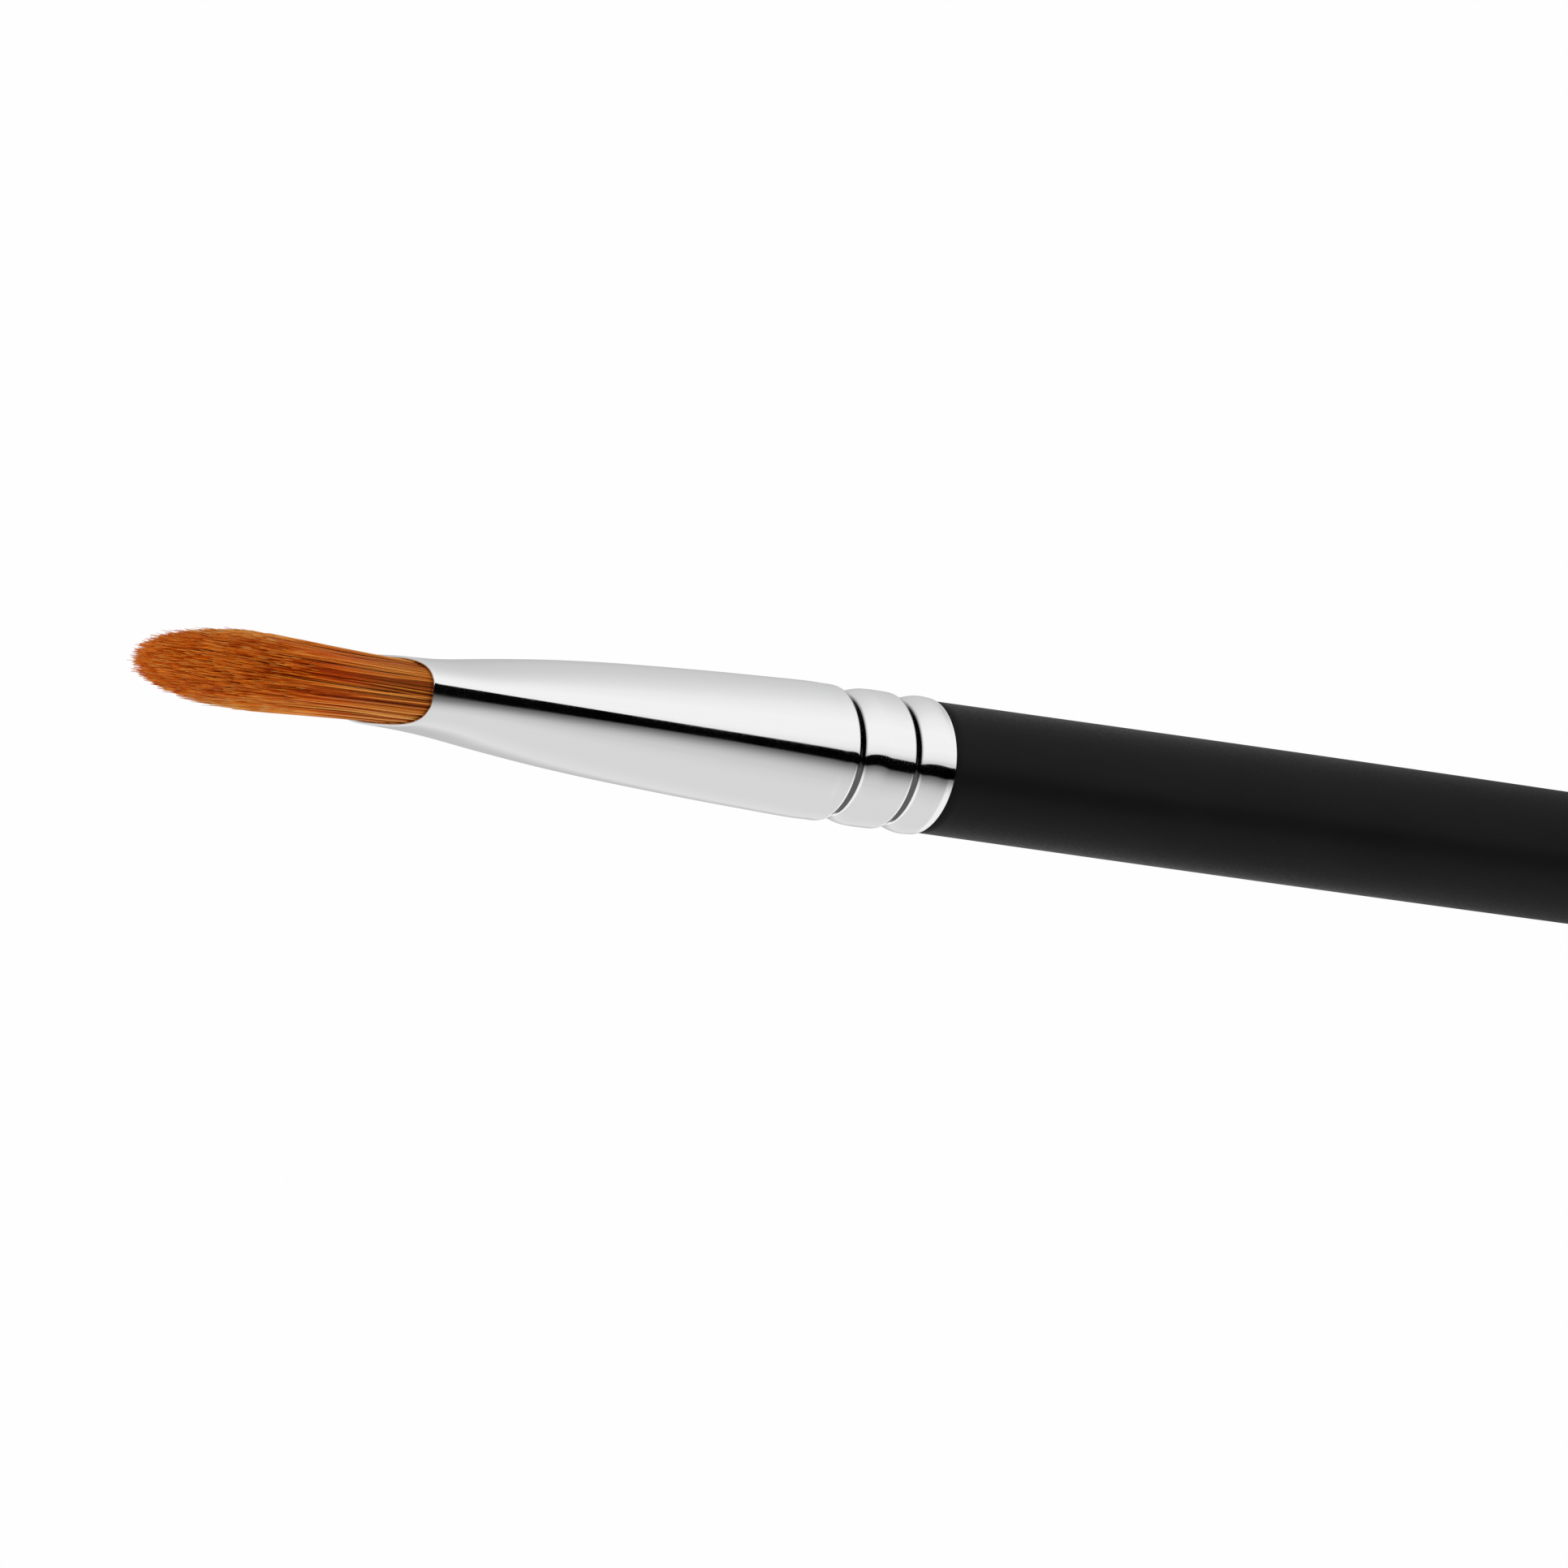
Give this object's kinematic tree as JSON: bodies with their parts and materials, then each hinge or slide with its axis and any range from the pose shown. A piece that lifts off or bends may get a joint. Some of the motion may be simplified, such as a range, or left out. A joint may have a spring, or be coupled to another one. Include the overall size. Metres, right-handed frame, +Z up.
{
  "type": "fine detail brush",
  "caption": "Flat domed hair brush with a crimped metal ferrule and a slim lacquered wooden handle, for laying down and blending small areas of colour.",
  "frame": {"origin": "middle of the brush's length and width, on the surface that it lies on", "axes": "+X from the hair's tip to the handle's tail, +Y across the flat side of the hair, +Z up from the surface"},
  "size_m": [0.174, 0.012, 0.0082],
  "materials": {
    "wood": "satin",
    "black_lacquer": "satin",
    "glue": "satin",
    "plated_metal": "polished",
    "hair": "satin",
    "thread": "matte",
    "resin": "gloss"
  },
  "bodies": {
    "brush": {"handle_core": "wood", "handle_lacquer": "black_lacquer", "tenon_glue": "glue", "ferrule": "plated_metal", "hair_roots": "hair", "binding_thread": "thread", "root_glue": "resin"},
    "tuft": {"hair_tuft": "hair"}
  },
  "joints": [
    {"name": "tuft_bend", "type": "hinge", "parent": "brush", "child": "tuft", "pos_m": [-0.0741, 0, 0.00408], "axis": [0, 1, 0], "range_deg": [-35, 35], "stiffness_Nm_per_rad": 0.002}
  ]
}
